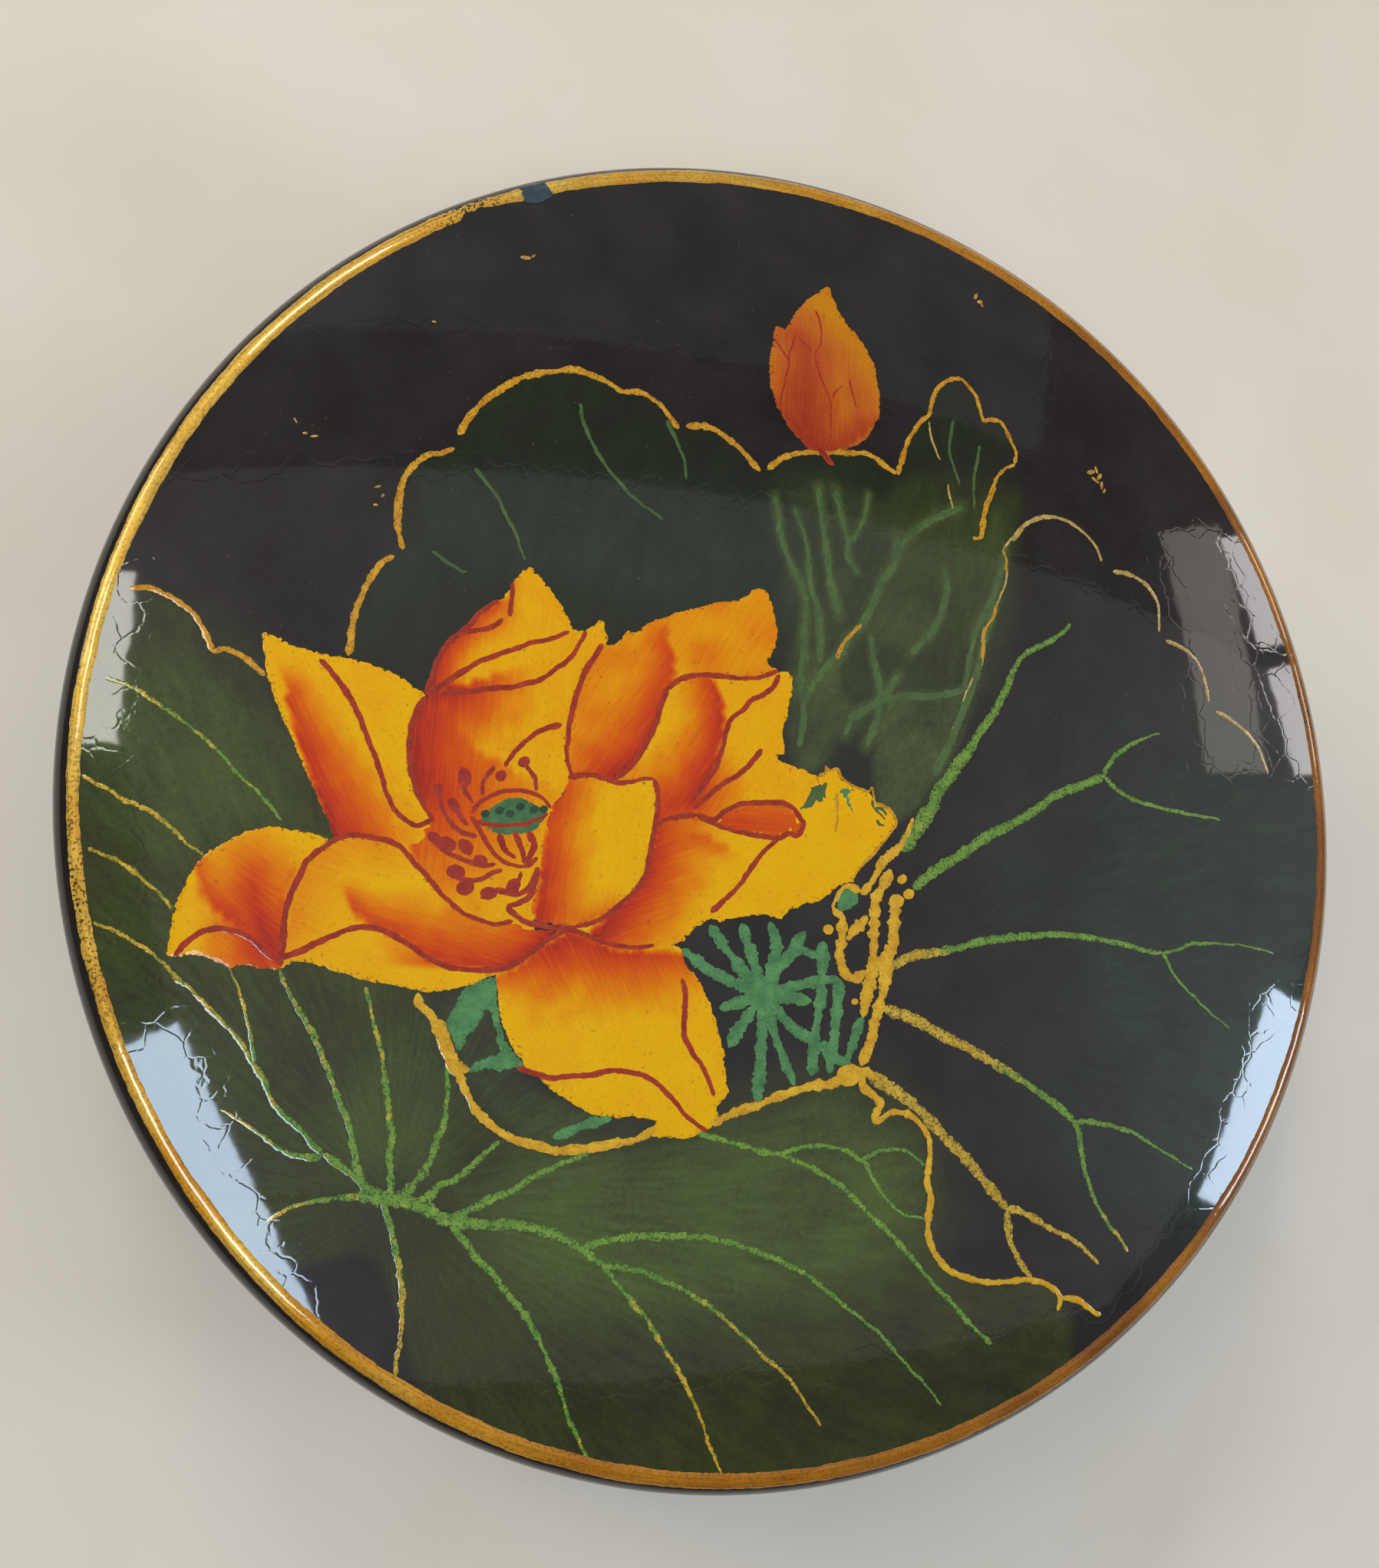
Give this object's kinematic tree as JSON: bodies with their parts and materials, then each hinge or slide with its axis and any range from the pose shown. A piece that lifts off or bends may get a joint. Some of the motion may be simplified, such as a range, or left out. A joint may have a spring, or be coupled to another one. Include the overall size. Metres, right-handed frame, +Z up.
{
  "type": "lidded lacquer bowl",
  "caption": "Round lacquered wooden bowl with a foot ring, a locating collar and a gently domed lift-off lid whose edge carries a raised gold line.",
  "frame": {"origin": "centre of the circle that the foot ring stands on, at the lowest point of the bowl", "axes": "+Z up along the turning axis; +Y towards the side of the lid that the painted bud points to; +X to the right of that"},
  "size_m": [0.22, 0.22, 0.077],
  "materials": {
    "black_lacquer": "turned and bent wood under polished black lacquer",
    "painted_lacquer": "black lacquer painted by hand with gold, red and green flowers and leaves, under clear lacquer",
    "gold_lacquer": "brushed gold powder lacquer, slightly raised, on wood"
  },
  "bodies": {
    "bowl": {"foot_ring": "black_lacquer", "bowl_bottom": "black_lacquer", "bowl_hoop": "black_lacquer", "locating_collar": "black_lacquer"},
    "lid": {"lid_hoop": "black_lacquer", "lid_panel": "painted_lacquer", "gold_rim_line": "gold_lacquer"}
  },
  "joints": [
    {"name": "lid_lift", "type": "slide", "parent": "bowl", "child": "lid", "axis": [0, 0, 1], "range_m": [0, 0.1]}
  ]
}
